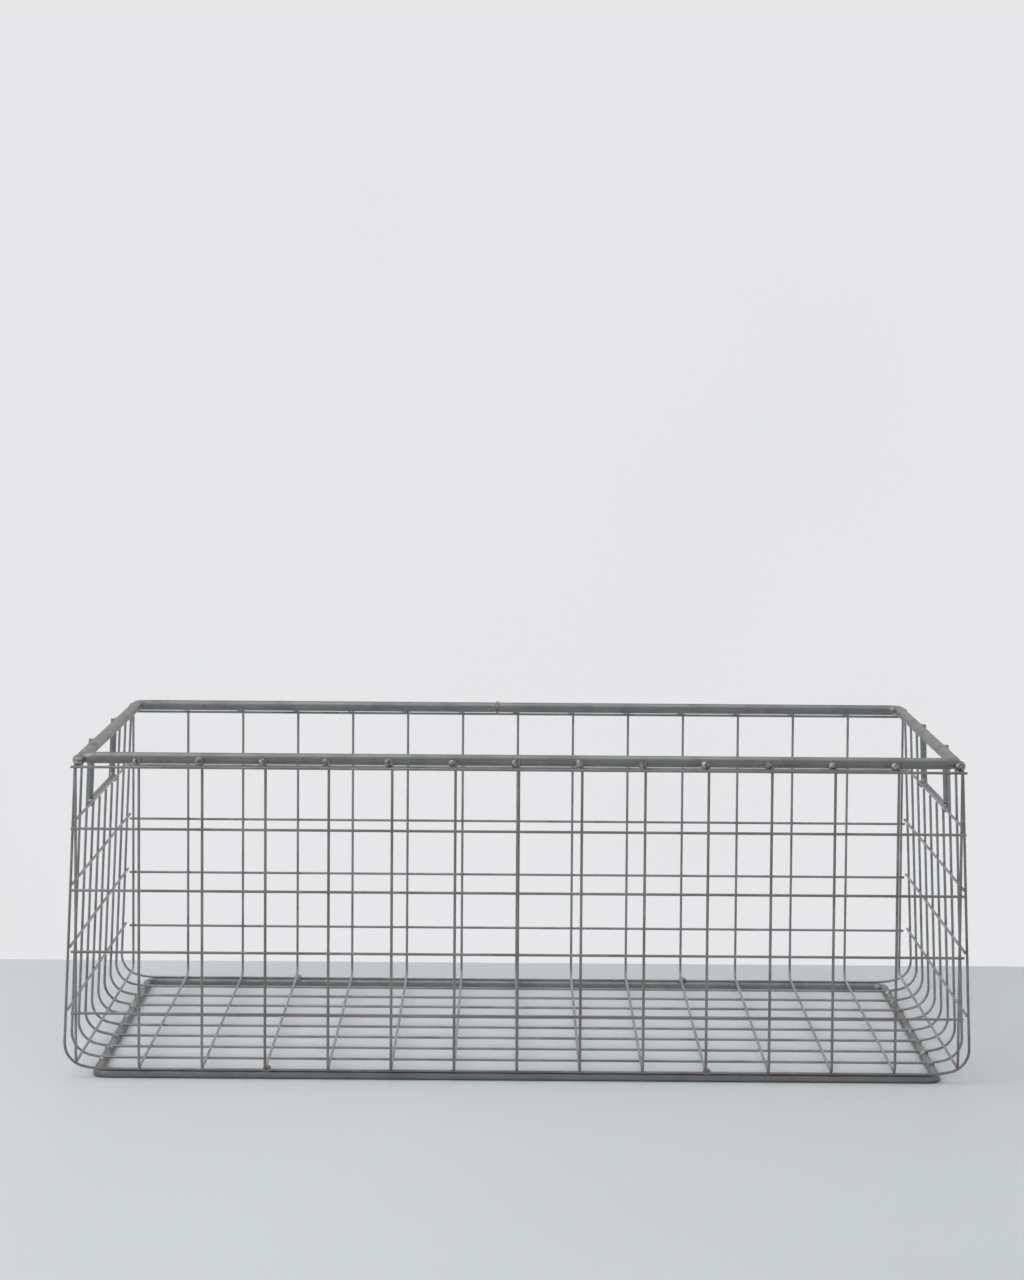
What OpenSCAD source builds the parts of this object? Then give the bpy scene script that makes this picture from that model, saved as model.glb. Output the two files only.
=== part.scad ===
// Wire locker basket: a welded net of thin wires folded up into four walls, hung from a heavy
// rim rod and standing on a rod frame. Millimetres, X to the right, Y to the back, Z up.
// The origin is the middle of the footprint, on the surface that the basket stands on.

/* [Basket] */
// Height from the surface to the top of the rim
basket_height = 167; // [130:1:240]

/* [Mesh] */
// Spacing of the wires in both directions across the floor
mesh_pitch = 32; // [26:1:38]
// Diameter of every mesh wire
mesh_wire = 1.4; // [1:0.1:2.2]
// Centre-line radius of the tight bends at the bottom of the front and back walls
front_bend = 4.5; // [3:0.5:9]
// Straight length between the first long wire and the start of the tight bends
bend_room = 0.5; // [0.2:0.1:6]
// Depth that each crossing wire is set into its neighbour by the spot weld
weld_set = 0.1; // [0.05:0.01:0.2]

/* [Wall rows] */
// Clear gap between the rim and the row of wire just under it
row_gap = 0.7; // [0.3:0.1:5]
// Height of the lowest front and back rows above the long wires of the floor
front_low_row = 29.5; // [20:0.5:45]
// Height of the lowest end rows above the long wires of the floor
end_low_row = 31; // [24:0.5:45]
// Length of a front or back row past the corner wire
front_stub = 1.6; // [1:0.1:6]
// Length of an end row past the outermost long wire
end_stub = 3; // [1:0.1:4]

/* [End walls] */
// Distance that the end walls stand outside the corner wires at the rim
end_room = 0.64; // [0:0.04:4]
// Angle by which the end walls lean in towards the rim
end_lean = 2.2; // [0:0.1:4]
// Centre-line radius of the main bend at the foot of each end wall
end_bend = 12; // [9:0.5:18]
// Centre-line radius of the slow curve that leads into the main bend
lead_bend = 45; // [30:1:60]
// Angle turned through by the slow curve
lead_angle = 14; // [8:1:20]
// Straight length between the slow curve and the main bend
lead_straight = 0.5; // [0.2:0.1:4]

/* [Rim] */
// Diameter of the rim rod
rim_rod = 5.8; // [4:0.1:8]
// Centre-line radius of the rim's corners
rim_corner = 6; // [4.5:0.5:8]
// Height that the wires and hand-hold bars run up past the rim's centre line
rim_lap = 0.4; // [0:0.1:2]
// Distance of the rim's butt weld from the middle of the back rail
butt_weld_offset = -12; // [-150:1:150]

/* [Hand-holds] */
// Diameter of the rod that frames each hand-hold
hold_rod = 3.5; // [2.4:0.1:5]
// Width of a hand-hold between the centres of its side bars
hold_width = 112; // [104:1:150]
// Depth of the hand-hold's bottom bar below the rim's centre line
hold_depth = 33; // [26:1:40]
// Centre-line radius of the two bends in the hand-hold rod
hold_bend = 4; // [3:0.5:12]
// Clear gap between the bottom bar and the end row above it
bar_gap = 0.1; // [0.05:0.05:0.5]

/* [Foot frame] */
// Diameter of the foot frame's rod
foot_rod = 4.5; // [3:0.1:7]
// Clear gap between the front and back foot rails and the long wires that run beside them
rail_gap = 0.08; // [0.05:0.01:3]
// Distance of the end foot rails past the start of the end bends
foot_past_bend = 4.6; // [-20:0.2:5]
// Centre-line radius of the foot frame's corners
foot_corner = 6; // [4:0.5:20]
// Depth to which the underside of the foot rod is rubbed flat
foot_wear = 0.15; // [0.05:0.05:0.4]

/* [Weld beads] */
// Radius of the beads along the rim
rim_bead = 2.2; // [1.8:0.1:2.8]
// Distance along the rim from a wire to the middle of its bead
bead_side = 1.9; // [0.5:0.1:2.4]
// Radius of the lumps on the foot frame
foot_bead = 2.3; // [2:0.1:2.8]

/* [Hidden] */
cross_wires = 15;
long_wires = 10;
rows = 5;
$fn = 24;
// Extra thickness where two lengths of a bent rod meet at an odd angle, which joins them surely
knuckle = 0.02;

// Lengths that add up along a bent rod are whole thousandths
function round_off(v) = round(v * 1000) / 1000;

// Heights. The long wires rest on the foot frame's end rails where they have begun to curve up.
rim_z = basket_height - rim_rod / 2;
foot_z = foot_rod / 2 - foot_wear;
foot_touch = (foot_rod + mesh_wire) / 2;
foot_rise = foot_past_bend > 0 ? lead_bend - sqrt(pow(lead_bend, 2) - pow(foot_past_bend, 2)) : 0;
long_z = round_off(foot_z + foot_touch - weld_set - foot_rise);
wire_step = mesh_wire - weld_set;
cross_z = long_z + wire_step;
top_row_drop = (rim_rod + mesh_wire) / 2 + row_gap;

// Plan of the floor
corner_x = mesh_pitch * (cross_wires - 1) / 2;
outer_y = mesh_pitch * (long_wires - 1) / 2;
wall_y = outer_y + bend_room + front_bend;
end_x = corner_x + end_room;

// Centre line of the rim, which the walls' wires lap from outside
rim_touch = (rim_rod + mesh_wire) / 2 - weld_set;
rim_x = end_x - rim_touch;
rim_y = wall_y - rim_touch;

// The end wall's profile: a slow curve, the main bend, then the leaning upright
function end_wall_x(z) = end_x + (rim_z - z) * tan(end_lean);
lead_rise = lead_bend * (1 - cos(lead_angle));
main_z = long_z + lead_rise + lead_straight * sin(lead_angle) + end_bend * cos(lead_angle);
main_x = end_wall_x(main_z) - end_bend / cos(end_lean);
lead_x = round_off(main_x - (lead_bend - end_bend) * sin(lead_angle) - lead_straight * cos(lead_angle));
lead_z = long_z + lead_bend;

main_turn = 90 + end_lean - lead_angle;

// Height of a wire's centre at x, lying on the inside of a long wire across the floor or its bend
function on_arc(x, cx, cz, r) = cz - sqrt(r * r - (x - cx) * (x - cx));
function inside_long_z(x) =
  x < lead_x ? cross_z
  : x < main_x + (end_bend - wire_step) * sin(lead_angle)
    ? round_off(on_arc(x, lead_x, lead_z, lead_bend - wire_step))
  : round_off(on_arc(x, main_x, main_z, end_bend - wire_step));

// Hand-hold rod, in the plane of the end wall, on the outside of the rim
hold_touch = (rim_rod + hold_rod) / 2 - weld_set;
hold_out = (hold_touch - rim_touch) / cos(end_lean);
row_to_bar = (mesh_wire + hold_rod) / 2;
bar_step = sqrt(pow(row_to_bar + bar_gap, 2) - pow(row_to_bar - weld_set, 2));
bar_z = rim_z - hold_depth;
hold_y = hold_width / 2;

// Foot frame
foot_x = lead_x + foot_past_bend;
foot_y = round_off(outer_y - sqrt(pow(foot_touch + rail_gap, 2) - pow(long_z - foot_z, 2)));

function cross_x(i) = mesh_pitch * (i - (cross_wires + 1) / 2);
function long_y(k) = mesh_pitch * (k - (long_wires + 1) / 2);
function is_cut(k) = abs(long_y(k)) < hold_y;
// Heights of the rows, counted down from the rim
function spread(top, low, n, steps) = top + (low - top) * n / steps;
function front_row_z(n) = spread(rim_z - top_row_drop, long_z + front_low_row, n - 1, rows - 1);
function end_row_z(n) =
  n == 1 ? rim_z - top_row_drop : spread(bar_z + bar_step, long_z + end_low_row, n - 2, rows - 2);

function two_digits(i) = str(i < 10 ? "0" : "", i);
function names(stem, count) = [for (i = [1:count]) str(stem, two_digits(i))];

rod_colour = "#6d7072";
wire_colour = "#85888a";
weld_colour = "#9a9c9d";

// A rod bent as a bender is set: each step is a straight feed, then a bend radius and a left turn.
// It starts at the origin along X, and each step is laid off from the end of the one before.
module bent_rod(d, steps, i = 0) {
  feed = steps[i][0];
  radius = steps[i][1];
  angle = steps[i][2];
  if (feed > 0) rotate([0, 90, 0]) cylinder(d = d, h = feed);
  translate([feed, radius, 0]) {
    if (angle > 0) rotate([0, 0, -90]) rotate_extrude(angle = angle) translate([radius, 0]) circle(d = d);
    if (i < len(steps) - 1) rotate([0, 0, angle]) translate([0, -radius, 0]) {
      if (angle % 90 != 0) sphere(d = d + knuckle);
      bent_rod(d, steps, i + 1);
    }
  }
}

// A rod bent up at both ends of a level run, with its ends at height top
module u_rod(d, half, low, top, r) {
  up = top - low - r;
  translate([-half, top, 0]) rotate([0, 0, -90])
    bent_rod(d, [[up, r, 90], [2 * (half - r), r, 90], [up, 0, 0]]);
}

// A rectangle of rod with its sides at x and y either side of the middle
module rod_loop(d, x, y, corner) {
  side_x = 2 * (x - corner);
  side_y = 2 * (y - corner);
  translate([corner - x, -y, 0]) bent_rod(
    d,
    [[side_x, corner, 90], [side_y, corner, 90], [side_x, corner, 90], [side_y, corner, 90]]
  );
}

module rim() {
  color(rod_colour) translate([0, 0, rim_z]) rod_loop(rim_rod, rim_x, rim_y, rim_corner);
}

// The ring of weld metal where the rim rod's two ends meet
module rim_butt_weld() {
  ring = 2.4;
  color(weld_colour) translate([butt_weld_offset, rim_y, rim_z]) rotate([0, 90, 0]) difference() {
    rotate_extrude() translate([rim_rod / 2 - 0.5, 0]) circle(d = ring);
    cylinder(d = rim_rod, h = 2 * ring, center = true);
  }
}

module foot_frame() {
  color(rod_colour) difference() {
    translate([0, 0, foot_z]) rod_loop(foot_rod, foot_x, foot_y, foot_corner);
    translate([0, 0, -foot_rod]) cube([3 * foot_x, 3 * foot_y, 2 * foot_rod], center = true);
  }
}

// Up the front wall, under the basket and up the back wall. The corner wires lie in the end bends,
// so their floor run is higher.
module cross_wire(i) {
  floor_z = inside_long_z(abs(cross_x(i)));
  color(wire_colour) translate([cross_x(i), 0, 0]) rotate([90, 0, 90])
    u_rod(mesh_wire, wall_y, floor_z, rim_z + rim_lap, front_bend);
}

// Along the floor and up both end walls, to the rim or to the underside of the hand-hold's bar
module long_wire(k) {
  top = is_cut(k) ? bar_z - hold_rod / 2 + 0.15 : rim_z + rim_lap;
  upright = round_off((top - main_z) / cos(end_lean) - end_bend * tan(end_lean));
  color(wire_colour) for (end = [0, 1])
    mirror([end, 0, 0]) translate([0, long_y(k), long_z]) rotate([90, 0, 0]) bent_rod(
      mesh_wire,
      [[lead_x, lead_bend, lead_angle], [lead_straight, end_bend, main_turn], [upright, 0, 0]]
    );
}

// A straight wire centred on the origin along X
module row_wire(length) {
  rotate([0, 90, 0]) cylinder(d = mesh_wire, h = length, center = true);
}

module front_row(n) {
  color(wire_colour) translate([0, -wall_y - wire_step, front_row_z(n)])
    row_wire(2 * (corner_x + mesh_wire / 2 + front_stub));
}

module back_row(n) {
  mirror([0, 1, 0]) front_row(n);
}

// The rows of the end walls lie inside the long wires. The top one is cut away at the hand-hold.
module right_end_row(n) {
  half = outer_y + mesh_wire / 2 + end_stub;
  x = end_wall_x(end_row_z(n)) - wire_step / cos(end_lean);
  color(wire_colour) translate([x, 0, end_row_z(n)]) rotate([0, 0, 90]) {
    if (n > 1) row_wire(2 * half);
    else for (side = [-1, 1]) translate([side * (half + hold_y) / 2, 0, 0]) row_wire(half - hold_y);
  }
}

module left_end_row(n) {
  mirror([1, 0, 0]) right_end_row(n);
}

// Moves its children to height z in the middle of the right end wall, leaning with the wall
module on_end_wall(z, out = 0) {
  translate([end_wall_x(z) + out, 0, z]) rotate([0, -end_lean, 0]) children();
}

module right_hand_hold() {
  up = round_off((hold_depth + rim_lap) / cos(end_lean));
  color(rod_colour) on_end_wall(bar_z, hold_out) rotate([90, 0, 90])
    u_rod(hold_rod, hold_y, 0, up, hold_bend);
}

module left_hand_hold() {
  mirror([1, 0, 0]) right_hand_hold();
}

// Weld beads. Their sizes wander a little, as beads laid by hand do.
function bead_size(r, i) = r * (1 + 0.12 * sin(137 * i));
// The point of the rim's centre line that is nearest to a wire at p, and the way out to the wire
function rim_inner(p) = [
  sign(p[0]) * min(abs(p[0]), rim_x - rim_corner),
  sign(p[1]) * min(abs(p[1]), rim_y - rim_corner)
];
function rim_way(p) = (p - rim_inner(p)) / norm(p - rim_inner(p));
function rim_point(p) = rim_inner(p) + rim_corner * rim_way(p);
// True where the rim beside p is straight, so that its bead can lie to one side of the wire
function beside_rail(p) = abs(p[0]) < rim_x - rim_corner || abs(p[1]) < rim_y - rim_corner;

// One bead between the rim and a wire at p, low on the rim's outer side
module rim_bead_at(p, r, side) {
  gap = norm(p - rim_point(p));
  shift = beside_rail(p) ? side : 0;
  size = beside_rail(p) ? r : 1.25 * r;
  at = rim_point(p) + 0.7 * gap * rim_way(p) + shift * [-rim_way(p)[1], rim_way(p)[0]];
  translate([at[0], at[1], rim_z - rim_rod / 4]) sphere(r = size);
}

module rim_front_welds() {
  color(weld_colour) difference() {
    for (i = [1:cross_wires])
      rim_bead_at([cross_x(i), -wall_y], bead_size(rim_bead, i), -bead_side);
    translate([0, 0, rim_z]) rod_loop(rim_rod, rim_x, rim_y, rim_corner);
    for (i = [1:cross_wires])
      translate([cross_x(i), -wall_y, rim_z + rim_lap - 20]) cylinder(d = mesh_wire, h = 20);
  }
}

module rim_back_welds() {
  mirror([0, 1, 0]) rim_front_welds();
}

// Beads at the rim for the long wires and the hand-hold's bars, and one at each bend of its rod
module right_end_welds() {
  up = (rim_lap + 20) / cos(end_lean);
  color(weld_colour) difference() {
    union() {
      for (k = [1:long_wires])
        if (!is_cut(k)) rim_bead_at([end_x, long_y(k)], bead_size(rim_bead, k + 20), bead_side);
      for (side = [-1, 1])
        rim_bead_at([rim_x + hold_touch, side * hold_y], 1.08 * rim_bead, side * bead_side);
      for (side = [-1, 1])
        on_end_wall(end_row_z(2), hold_out) translate([-hold_rod / 4, side * (hold_y + hold_rod / 2), -1])
          sphere(r = 0.97 * rim_bead);
    }
    translate([0, 0, rim_z]) rod_loop(rim_rod, rim_x, rim_y, rim_corner);
    for (k = [1:long_wires])
      if (!is_cut(k)) translate([0, long_y(k), 0]) on_end_wall(rim_z - 20) cylinder(d = mesh_wire, h = up);
    right_hand_hold();
    right_end_row(2);
  }
}

module left_end_welds() {
  mirror([1, 0, 0]) right_end_welds();
}

// Tacks on the front foot rail, which reach up to two of the cross wires beside the first long wire
module foot_front_welds() {
  tacked = [4, 11];
  color(weld_colour) difference() {
    for (i = tacked)
      translate([cross_x(i) + 0.8, -foot_y, cross_z - foot_bead / 2]) sphere(r = foot_bead);
    translate([0, 0, foot_z]) rod_loop(foot_rod, foot_x, foot_y, foot_corner);
    for (i = tacked) cross_wire(i);
    long_wire(1);
  }
}

module foot_back_welds() {
  mirror([0, 1, 0]) foot_front_welds();
}

// Lumps where the long wires cross the foot frame's end rail
module foot_right_welds() {
  first = 2;
  last = long_wires - 1;
  color(weld_colour) difference() {
    for (k = [first:last])
      translate([foot_x - 0.5, long_y(k) - foot_bead / 2, long_z - foot_bead / 2])
        sphere(r = bead_size(foot_bead, 2 * k));
    translate([0, 0, foot_z]) rod_loop(foot_rod, foot_x, foot_y, foot_corner);
    for (k = [first:last]) long_wire(k);
  }
}

module foot_left_welds() {
  mirror([1, 0, 0]) foot_right_welds();
}

rim();
rim_butt_weld();
foot_frame();
for (i = [1:cross_wires])
  cross_wire(i);
for (k = [1:long_wires])
  long_wire(k);
for (n = [1:rows]) {
  front_row(n);
  back_row(n);
  left_end_row(n);
  right_end_row(n);
}
left_hand_hold();
right_hand_hold();
rim_front_welds();
rim_back_welds();
left_end_welds();
right_end_welds();
foot_front_welds();
foot_back_welds();
foot_left_welds();
foot_right_welds();
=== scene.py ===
"""Wire locker basket: finishes for the rods, wires and welds, and a plain studio stage."""
import math

import bpy
from mathutils import Matrix, Vector

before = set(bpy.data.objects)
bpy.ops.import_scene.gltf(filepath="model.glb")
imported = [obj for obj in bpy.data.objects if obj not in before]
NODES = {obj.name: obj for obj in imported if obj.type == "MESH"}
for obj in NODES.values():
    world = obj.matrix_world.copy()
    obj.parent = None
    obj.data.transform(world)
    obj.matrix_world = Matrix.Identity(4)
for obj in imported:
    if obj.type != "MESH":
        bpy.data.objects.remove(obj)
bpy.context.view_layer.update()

bl_info = {
    "name": "Wire Locker Basket",
    "version": (1, 0, 0),
    "blender": (4, 5, 0),
    "location": "3D View > Sidebar > Basket",
    "description": "Finishes and stage for a welded wire basket",
    "category": "Object",
}

RODS = {
    "rim": ["rim"],
    "foot": ["foot_frame"],
    "hand_hold": ["left_hand_hold", "right_hand_hold"],
}
WIRES = {
    "cross": [name for name in NODES if name.startswith("cross_wire_")],
    "long": [name for name in NODES if name.startswith("long_wire_")],
    "long_row": [name for name in NODES if name.startswith(("front_row_", "back_row_"))],
    "end_row": [name for name in NODES if "_end_row_" in name],
}
WELDS = [name for name in NODES if "weld" in name]

# Scale of the drawing marks along X, Y and Z, small in the directions that the rods run in
MARKS = {
    "rim": (0.05, 0.05, 1.0),
    "foot": (0.05, 0.05, 1.0),
    "hand_hold": (1.0, 0.08, 0.08),
    "cross": (1.0, 0.06, 0.06),
    "long": (0.06, 1.0, 0.06),
    "long_row": (0.06, 1.0, 1.0),
    "end_row": (1.0, 0.06, 1.0),
}

# Sockets that both skins give to the shader
SKIN_OUTPUTS = (
    ("Colour", "NodeSocketColor"),
    ("Roughness", "NodeSocketFloat"),
    ("Height", "NodeSocketFloat"),
)

# Scales of the noise patterns, in cells to a metre
PATCH_SCALE = 55.0
STAIN_SCALE = 24.0
STREAK_SCALE = 620.0
SPECK_SCALE = 900.0
WELD_LUMP_SCALE = 480.0
WELD_TINT_SCALE = 210.0
WELD_RIPPLE_SCALE = 1500.0
CLOUD_SCALE = 2.2
STREAK_COLOUR = (0.5, 0.5, 0.5, 1.0)
SPECK_COLOUR = (0.12, 0.10, 0.09, 1.0)
CLOUD_SHADE = 0.94
# The brown stain is full at the front wall and fades between these two places along Y
STAIN_FRONT_Y = -0.150
STAIN_END_Y = -0.110

# Heights of the bumps, in metres
STEEL_BUMP = 0.00006
WELD_BUMP = 0.0002

# The camera's place, and its downward tilt, turn to the right and roll in degrees
CAMERA_PLACE = (-0.0049, -2.0828, 0.3704)
CAMERA_TILT = 4.285
CAMERA_TURN = 0.026
CAMERA_ROLL = 0.42
SENSOR_WIDTH = 36.0

# Name, place, size, name of the power setting and colour of each soft lamp
LAMPS = (
    ("key_lamp", (-1.5, -1.0, 1.5), 1.3, "key_power", (1.0, 0.98, 0.96)),
    ("fill_lamp", (1.7, -1.3, 0.9), 1.2, "fill_power", (0.96, 0.98, 1.0)),
    ("top_lamp", (-0.2, -0.2, 1.9), 1.4, "top_power", (1.0, 1.0, 1.0)),
)
LAMP_AIM = (0.0, 0.0, 0.08)
ROOM_TINT = (0.93, 0.96, 1.0, 1.0)
BOARD_SIZE = 6.0


class BasketSteel(bpy.types.PropertyGroup):
    """Colours and wear of the basket's steel"""

    rod_colour: bpy.props.FloatVectorProperty(
        name="Rod", description="Colour of the rim, foot frame and hand-holds",
        subtype="COLOR", size=3, min=0, max=1, default=(0.30, 0.305, 0.305))
    wire_colour: bpy.props.FloatVectorProperty(
        name="Wire", description="Colour of the mesh wires",
        subtype="COLOR", size=3, min=0, max=1, default=(0.40, 0.405, 0.41))
    weld_colour: bpy.props.FloatVectorProperty(
        name="Weld", description="Colour of the weld beads",
        subtype="COLOR", size=3, min=0, max=1, default=(0.46, 0.455, 0.45))
    tarnish_colour: bpy.props.FloatVectorProperty(
        name="Tarnish", description="Colour of the dull patches",
        subtype="COLOR", size=3, min=0, max=1, default=(0.17, 0.175, 0.18))
    warm_colour: bpy.props.FloatVectorProperty(
        name="Browning", description="Colour of the brown stain on the front wall and at the welds",
        subtype="COLOR", size=3, min=0, max=1, default=(0.27, 0.20, 0.20))
    rod_roughness: bpy.props.FloatProperty(
        name="Rod roughness", description="Roughness of the rods", min=0, max=1, default=0.46)
    wire_roughness: bpy.props.FloatProperty(
        name="Wire roughness", description="Roughness of the wires", min=0, max=1, default=0.42)


class BasketStage(bpy.types.PropertyGroup):
    """Floor, wall, lamps and camera"""

    floor_colour: bpy.props.FloatVectorProperty(
        name="Floor", description="Colour of the floor",
        subtype="COLOR", size=3, min=0, max=1, default=(0.76, 0.80, 0.81))
    wall_colour: bpy.props.FloatVectorProperty(
        name="Wall", description="Colour of the wall behind",
        subtype="COLOR", size=3, min=0, max=1, default=(0.80, 0.805, 0.82))
    wall_y: bpy.props.FloatProperty(
        name="Wall place", description="How far behind the middle of the basket the wall stands",
        subtype="DISTANCE", default=0.235)
    key_power: bpy.props.FloatProperty(
        name="Key lamp", description="Power of the soft lamp at the upper left", min=0, default=17.0)
    fill_power: bpy.props.FloatProperty(
        name="Fill lamp", description="Power of the soft lamp at the right", min=0, default=3.5)
    top_power: bpy.props.FloatProperty(
        name="Top lamp", description="Power of the soft lamp overhead", min=0, default=9.0)
    room_level: bpy.props.FloatProperty(
        name="Room", description="Level of the light from all around", min=0, default=0.32)
    lens: bpy.props.FloatProperty(
        name="Lens", description="Focal length in millimetres on a 36 mm frame", min=1, default=135.34)


def group_with(name, inputs):
    """A shader node group with a skin's outputs and the inputs given as (name, type, default)."""
    tree = bpy.data.node_groups.new(name, "ShaderNodeTree")
    for label, kind, default in inputs:
        socket = tree.interface.new_socket(label, in_out="INPUT", socket_type=kind)
        if default is not None:
            socket.default_value = default
    for label, kind in SKIN_OUTPUTS:
        tree.interface.new_socket(label, in_out="OUTPUT", socket_type=kind)
    start = tree.nodes.new("NodeGroupInput")
    end = tree.nodes.new("NodeGroupOutput")
    return tree, start, end


def add_noise(tree, vector, scale, detail, roughness=0.55):
    """The strength of a noise pattern at vector."""
    noise = tree.nodes.new("ShaderNodeTexNoise")
    noise.inputs["Scale"].default_value = scale
    noise.inputs["Detail"].default_value = detail
    noise.inputs["Roughness"].default_value = roughness
    tree.links.new(vector, noise.inputs["Vector"])
    return noise.outputs["Fac"]


def remap(tree, value, low, high, to_low=0.0, to_high=1.0):
    """The value carried smoothly from the first range to the second."""
    node = tree.nodes.new("ShaderNodeMapRange")
    node.interpolation_type = "SMOOTHSTEP"
    limits = {"From Min": low, "From Max": high, "To Min": to_low, "To Max": to_high}
    for label, number in limits.items():
        node.inputs[label].default_value = number
    tree.links.new(value, node.inputs["Value"])
    return node.outputs["Result"]


def combine(tree, operation, first, second):
    """Two sockets or numbers put through a Math node."""
    node = tree.nodes.new("ShaderNodeMath")
    node.operation = operation
    for socket, value in zip(node.inputs, (first, second)):
        if isinstance(value, (int, float)):
            socket.default_value = value
        else:
            tree.links.new(value, socket)
    return node.outputs[0]


def blend_colours(tree, factor, first, second, mode="MIX"):
    """Two sockets or colours mixed by the factor socket."""
    node = tree.nodes.new("ShaderNodeMix")
    node.data_type = "RGBA"
    node.blend_type = mode
    tree.links.new(factor, node.inputs["Factor"])
    for socket, value in ((node.inputs["A"], first), (node.inputs["B"], second)):
        if isinstance(value, tuple):
            socket.default_value = value
        else:
            tree.links.new(value, socket)
    return node.outputs["Result"]


def steel_skin():
    """Node group for aged drawn steel: dull patches, brown stain, marks and dark specks."""
    tree, start, end = group_with(
        "aged_drawn_steel",
        [("Place", "NodeSocketVector", None), ("Marks", "NodeSocketVector", None),
         ("Steel", "NodeSocketColor", None), ("Tarnish", "NodeSocketColor", None),
         ("Browning", "NodeSocketColor", None), ("Roughness", "NodeSocketFloat", 0.4),
         ("Patch Amount", "NodeSocketFloat", 0.6), ("Browning Amount", "NodeSocketFloat", 0.6)])
    place = start.outputs["Place"]
    marks = start.outputs["Marks"]
    split = tree.nodes.new("ShaderNodeSeparateXYZ")
    tree.links.new(place, split.inputs[0])

    patches = remap(tree, add_noise(tree, place, PATCH_SCALE, 5.0, 0.62), 0.42, 0.68)
    patches = combine(tree, "MULTIPLY", patches, start.outputs["Patch Amount"])
    streaks = remap(tree, add_noise(tree, marks, STREAK_SCALE, 4.0), 0.35, 0.7)
    specks = remap(tree, add_noise(tree, place, SPECK_SCALE, 2.0, 0.7), 0.62, 0.74)

    front = remap(tree, split.outputs["Y"], STAIN_FRONT_Y, STAIN_END_Y, 1.0, 0.15)
    stain = remap(tree, add_noise(tree, place, STAIN_SCALE, 3.0), 0.3, 0.7, 0.35, 1.0)
    stain = combine(tree, "MULTIPLY", front, stain)
    stain = combine(tree, "MULTIPLY", stain, start.outputs["Browning Amount"])

    colour = blend_colours(tree, patches, start.outputs["Steel"], start.outputs["Tarnish"])
    colour = blend_colours(tree, stain, colour, start.outputs["Browning"])
    streaked = combine(tree, "MULTIPLY", streaks, 0.30)
    colour = blend_colours(tree, streaked, colour, STREAK_COLOUR, "OVERLAY")
    speckled = combine(tree, "MULTIPLY", specks, 0.35)
    colour = blend_colours(tree, speckled, colour, SPECK_COLOUR)
    tree.links.new(colour, end.inputs["Colour"])

    rough = combine(tree, "ADD", start.outputs["Roughness"], combine(tree, "MULTIPLY", patches, 0.16))
    rough = combine(tree, "ADD", rough, combine(tree, "MULTIPLY", streaks, 0.10))
    rough = combine(tree, "ADD", rough, combine(tree, "MULTIPLY", specks, 0.12))
    tree.links.new(rough, end.inputs["Roughness"])

    height = combine(tree, "SUBTRACT", combine(tree, "MULTIPLY", streaks, 0.5), specks)
    tree.links.new(height, end.inputs["Height"])
    return tree


def weld_skin():
    """Node group for laid weld metal: fine ripples, scale and heat tint."""
    tree, start, end = group_with(
        "laid_weld_metal",
        [("Place", "NodeSocketVector", None), ("Metal", "NodeSocketColor", None),
         ("Scale Colour", "NodeSocketColor", None), ("Heat Tint", "NodeSocketColor", None)])
    place = start.outputs["Place"]
    lumps = add_noise(tree, place, WELD_LUMP_SCALE, 3.0)
    scale = remap(tree, lumps, 0.4, 0.62)
    tint = remap(tree, add_noise(tree, place, WELD_TINT_SCALE, 2.0), 0.45, 0.7)
    ripples = remap(tree, add_noise(tree, place, WELD_RIPPLE_SCALE, 2.0), 0.3, 0.7)
    colour = blend_colours(tree, scale, start.outputs["Metal"], start.outputs["Scale Colour"])
    tinted = combine(tree, "MULTIPLY", tint, 0.5)
    colour = blend_colours(tree, tinted, colour, start.outputs["Heat Tint"])
    tree.links.new(colour, end.inputs["Colour"])
    tree.links.new(remap(tree, ripples, 0.0, 1.0, 0.38, 0.62), end.inputs["Roughness"])
    height = combine(tree, "ADD", lumps, combine(tree, "MULTIPLY", ripples, 0.3))
    tree.links.new(height, end.inputs["Height"])
    return tree


def solid(colour):
    """The colour with full alpha."""
    return (colour[0], colour[1], colour[2], 1.0)


def shader_with_group(name, group, bump_distance, bump_strength):
    """A material whose shader takes colour, roughness and bump from the group."""
    material = bpy.data.materials.new(name)
    material.use_nodes = True
    tree = material.node_tree
    shader = tree.nodes["Principled BSDF"]
    skin = tree.nodes.new("ShaderNodeGroup")
    skin.node_tree = group
    place = tree.nodes.new("ShaderNodeTexCoord")
    tree.links.new(place.outputs["Object"], skin.inputs["Place"])
    bump = tree.nodes.new("ShaderNodeBump")
    bump.inputs["Distance"].default_value = bump_distance
    bump.inputs["Strength"].default_value = bump_strength
    tree.links.new(skin.outputs["Height"], bump.inputs["Height"])
    tree.links.new(bump.outputs["Normal"], shader.inputs["Normal"])
    tree.links.new(skin.outputs["Colour"], shader.inputs["Base Color"])
    tree.links.new(skin.outputs["Roughness"], shader.inputs["Roughness"])
    return material, tree, shader, skin, place


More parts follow.
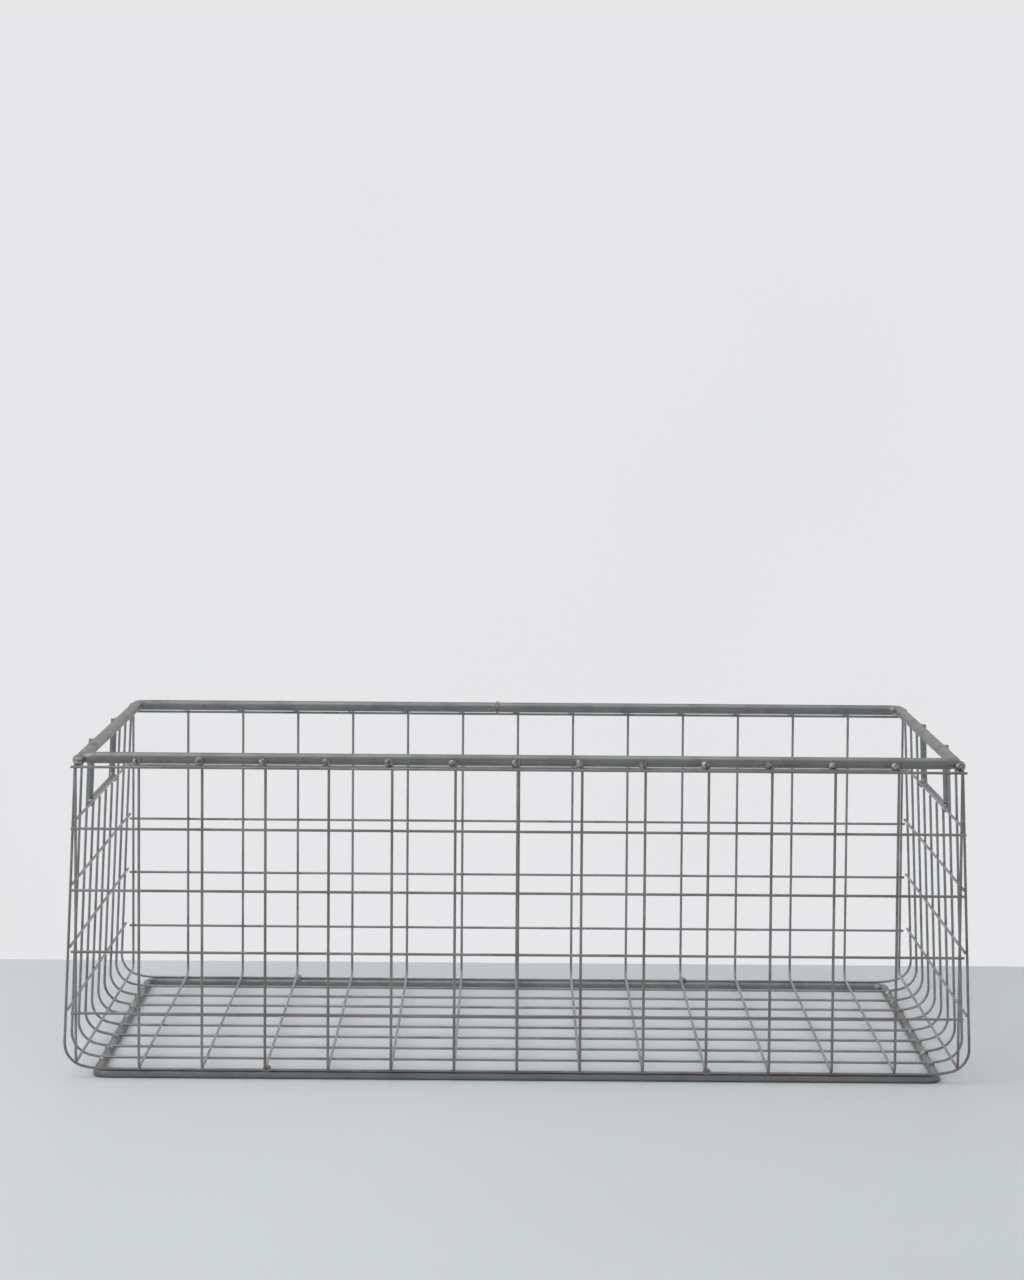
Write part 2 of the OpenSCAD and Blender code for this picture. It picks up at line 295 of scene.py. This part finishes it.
def steel_material(name, group, colour, roughness, marks, patch_amount, browning_amount):
    """Aged drawn steel with its marks drawn out along the rod."""
    steel = bpy.context.scene.basket_steel
    material, tree, shader, skin, place = shader_with_group(name, group, STEEL_BUMP, 0.5)
    shader.inputs["Metallic"].default_value = 1.0
    stretch = tree.nodes.new("ShaderNodeMapping")
    stretch.inputs["Scale"].default_value = marks
    tree.links.new(place.outputs["Object"], stretch.inputs["Vector"])
    tree.links.new(stretch.outputs["Vector"], skin.inputs["Marks"])
    skin.inputs["Steel"].default_value = solid(colour)
    skin.inputs["Tarnish"].default_value = solid(steel.tarnish_colour)
    skin.inputs["Browning"].default_value = solid(steel.warm_colour)
    skin.inputs["Roughness"].default_value = roughness
    skin.inputs["Patch Amount"].default_value = patch_amount
    skin.inputs["Browning Amount"].default_value = browning_amount
    return material


def give_finish(names, material):
    """Dress the named rods, wires or welds in one material."""
    for name in names:
        mesh = NODES[name].data
        mesh.materials.clear()
        mesh.materials.append(material)


def group_once(name, make):
    """The named node group, made at its first use."""
    return bpy.data.node_groups.get(name) or make()


class BASKET_OT_rods(bpy.types.Operator):
    """Finish the rim, the foot frame and the hand-holds as dark drawn rod"""

    bl_idname = "basket.rods"
    bl_label = "Finish Rods"

    def execute(self, context):
        steel = context.scene.basket_steel
        group = group_once("aged_drawn_steel", steel_skin)
        for part, names in RODS.items():
            give_finish(names, steel_material(
                f"{part}_rod", group, steel.rod_colour, steel.rod_roughness, MARKS[part], 0.4, 0.12))
        return {"FINISHED"}


class BASKET_OT_wires(bpy.types.Operator):
    """Finish the mesh wires as dull galvanised wire"""

    bl_idname = "basket.wires"
    bl_label = "Finish Wires"

    def execute(self, context):
        steel = context.scene.basket_steel
        group = group_once("aged_drawn_steel", steel_skin)
        for part, names in WIRES.items():
            give_finish(names, steel_material(
                f"{part}_wire", group, steel.wire_colour, steel.wire_roughness, MARKS[part], 0.45, 0.75))
        return {"FINISHED"}


class BASKET_OT_welds(bpy.types.Operator):
    """Finish the weld beads as rough scaled metal"""

    bl_idname = "basket.welds"
    bl_label = "Finish Welds"

    def execute(self, context):
        steel = context.scene.basket_steel
        group = group_once("laid_weld_metal", weld_skin)
        material, _, shader, skin, _ = shader_with_group("weld_metal", group, WELD_BUMP, 0.7)
        shader.inputs["Metallic"].default_value = 0.9
        skin.inputs["Metal"].default_value = solid(steel.weld_colour)
        skin.inputs["Scale Colour"].default_value = solid(steel.tarnish_colour)
        skin.inputs["Heat Tint"].default_value = solid(steel.warm_colour)
        give_finish(WELDS, material)
        return {"FINISHED"}


def stage_material(name, colour, blotch, plain_view):
    """Painted board for the floor or wall.

    plain_view shows the written colour to camera and gloss, and leaves the board clear from behind.
    """
    material = bpy.data.materials.new(name)
    material.use_nodes = True
    tree = material.node_tree
    shader = tree.nodes["Principled BSDF"]
    shader.inputs["Roughness"].default_value = 0.55
    place = tree.nodes.new("ShaderNodeTexCoord")
    clouds = add_noise(tree, place.outputs["Object"], CLOUD_SCALE, 2.0)
    cloud = remap(tree, clouds, 0.3, 0.7, 0.0, blotch)
    darker = tuple(CLOUD_SHADE * channel for channel in colour) + (1.0,)
    colour = blend_colours(tree, cloud, solid(colour), darker)
    tree.links.new(colour, shader.inputs["Base Color"])
    if plain_view:
        path = tree.nodes.new("ShaderNodeLightPath")
        seen = combine(tree, "MAXIMUM", path.outputs["Is Camera Ray"], path.outputs["Is Glossy Ray"])
        seen = combine(tree, "MAXIMUM", seen, path.outputs["Is Transmission Ray"])
        plain = tree.nodes.new("ShaderNodeEmission")
        tree.links.new(colour, plain.inputs["Color"])
        mix = tree.nodes.new("ShaderNodeMixShader")
        tree.links.new(seen, mix.inputs[0])
        tree.links.new(shader.outputs[0], mix.inputs[1])
        tree.links.new(plain.outputs[0], mix.inputs[2])
        clear = tree.nodes.new("ShaderNodeBsdfTransparent")
        facing = tree.nodes.new("ShaderNodeNewGeometry")
        one_sided = tree.nodes.new("ShaderNodeMixShader")
        tree.links.new(facing.outputs["Backfacing"], one_sided.inputs[0])
        tree.links.new(mix.outputs[0], one_sided.inputs[1])
        tree.links.new(clear.outputs[0], one_sided.inputs[2])
        tree.links.new(one_sided.outputs[0], tree.nodes["Material Output"].inputs["Surface"])
    return material


def stage_plane(name, place, tilt, material):
    """A large square board, flat at tilt 0 and upright, facing the front, at a right angle."""
    bpy.ops.object.select_all(action="DESELECT")
    bpy.ops.mesh.primitive_plane_add(size=1.0, location=place, rotation=(tilt, 0.0, 0.0))
    plane = bpy.context.object
    plane.name = name
    plane.scale = (BOARD_SIZE, BOARD_SIZE, 1.0)
    bpy.ops.object.transform_apply(location=True, rotation=True, scale=True)
    plane.data.materials.append(material)


def soft_lamp(name, place, aim, size, power, colour):
    """A square soft lamp turned towards aim."""
    lamp = bpy.data.lights.new(name, "AREA")
    lamp.shape = "SQUARE"
    lamp.size = size
    lamp.energy = power
    lamp.color = colour
    holder = bpy.data.objects.new(name, lamp)
    holder.location = place
    holder.rotation_euler = (Vector(aim) - Vector(place)).to_track_quat("-Z", "Y").to_euler()
    bpy.context.scene.collection.objects.link(holder)


def photo_camera(lens):
    """The camera at the photograph's viewing angle, from its place, tilt, turn and roll."""
    tilt = math.radians(CAMERA_TILT)
    turn = math.radians(CAMERA_TURN)
    roll = math.radians(CAMERA_ROLL)
    across = math.cos(tilt)
    forward = Vector((math.sin(turn) * across, math.cos(turn) * across, -math.sin(tilt)))
    level = Vector((math.cos(turn), -math.sin(turn), 0.0))
    upright = level.cross(forward)
    right = math.cos(roll) * level + math.sin(roll) * upright
    up = math.cos(roll) * upright - math.sin(roll) * level
    camera = bpy.data.cameras.new("photo_camera")
    camera.sensor_fit = "HORIZONTAL"
    camera.sensor_width = SENSOR_WIDTH
    camera.lens = lens
    camera.clip_end = 20.0
    holder = bpy.data.objects.new("photo_camera", camera)
    turned = Matrix((right, up, -forward)).transposed().to_4x4()
    turned.translation = CAMERA_PLACE
    holder.matrix_world = turned
    bpy.context.scene.collection.objects.link(holder)
    bpy.context.scene.camera = holder


def light_room(tree, stage):
    """Even light from all around, with the wall's colour where the camera sees past the stage."""
    room = tree.nodes["Background"]
    room.inputs["Color"].default_value = ROOM_TINT
    room.inputs["Strength"].default_value = stage.room_level
    seen_colour = tree.nodes.new("ShaderNodeBackground")
    seen_colour.inputs["Color"].default_value = solid(stage.wall_colour)
    path = tree.nodes.new("ShaderNodeLightPath")
    mix = tree.nodes.new("ShaderNodeMixShader")
    tree.links.new(path.outputs["Is Camera Ray"], mix.inputs[0])
    tree.links.new(room.outputs[0], mix.inputs[1])
    tree.links.new(seen_colour.outputs[0], mix.inputs[2])
    tree.links.new(mix.outputs[0], tree.nodes["World Output"].inputs["Surface"])


class BASKET_OT_stage(bpy.types.Operator):
    """Set the floor, the wall, the lamps and the camera"""

    bl_idname = "basket.stage"
    bl_label = "Set Stage"

    def execute(self, context):
        stage = context.scene.basket_stage
        floor = stage_material("pale_floor", tuple(stage.floor_colour), 0.6, False)
        wall = stage_material("pale_wall", tuple(stage.wall_colour), 0.35, True)
        stage_plane("floor", (0.0, 0.0, 0.0), 0.0, floor)
        stage_plane("wall", (0.0, stage.wall_y, BOARD_SIZE / 2), math.radians(90), wall)
        for name, place, size, power, colour in LAMPS:
            soft_lamp(name, place, LAMP_AIM, size, getattr(stage, power), colour)
        world = bpy.data.worlds.new("room")
        context.scene.world = world
        world.use_nodes = True
        light_room(world.node_tree, stage)
        photo_camera(stage.lens)
        context.scene.view_settings.view_transform = "Standard"
        return {"FINISHED"}


OPERATORS = (BASKET_OT_rods, BASKET_OT_wires, BASKET_OT_welds, BASKET_OT_stage)


class BASKET_PT_panel(bpy.types.Panel):
    """Basket panel in the sidebar"""

    bl_idname = "BASKET_PT_panel"
    bl_label = "Wire Locker Basket"
    bl_space_type = "VIEW_3D"
    bl_region_type = "UI"
    bl_category = "Basket"

    def draw(self, context):
        for settings in (context.scene.basket_steel, context.scene.basket_stage):
            box = self.layout.box()
            for name in settings.__annotations__:
                box.prop(settings, name)
        for operator in OPERATORS:
            self.layout.operator(operator.bl_idname)


CLASSES = (BasketSteel, BasketStage) + OPERATORS + (BASKET_PT_panel,)


def register():
    for cls in CLASSES:
        bpy.utils.register_class(cls)
    bpy.types.Scene.basket_steel = bpy.props.PointerProperty(type=BasketSteel)
    bpy.types.Scene.basket_stage = bpy.props.PointerProperty(type=BasketStage)


def unregister():
    del bpy.types.Scene.basket_stage
    del bpy.types.Scene.basket_steel
    for cls in reversed(CLASSES):
        bpy.utils.unregister_class(cls)


def main():
    register()
    bpy.ops.basket.rods()
    bpy.ops.basket.wires()
    bpy.ops.basket.welds()
    bpy.ops.basket.stage()


if __name__ == "__main__":
    main()
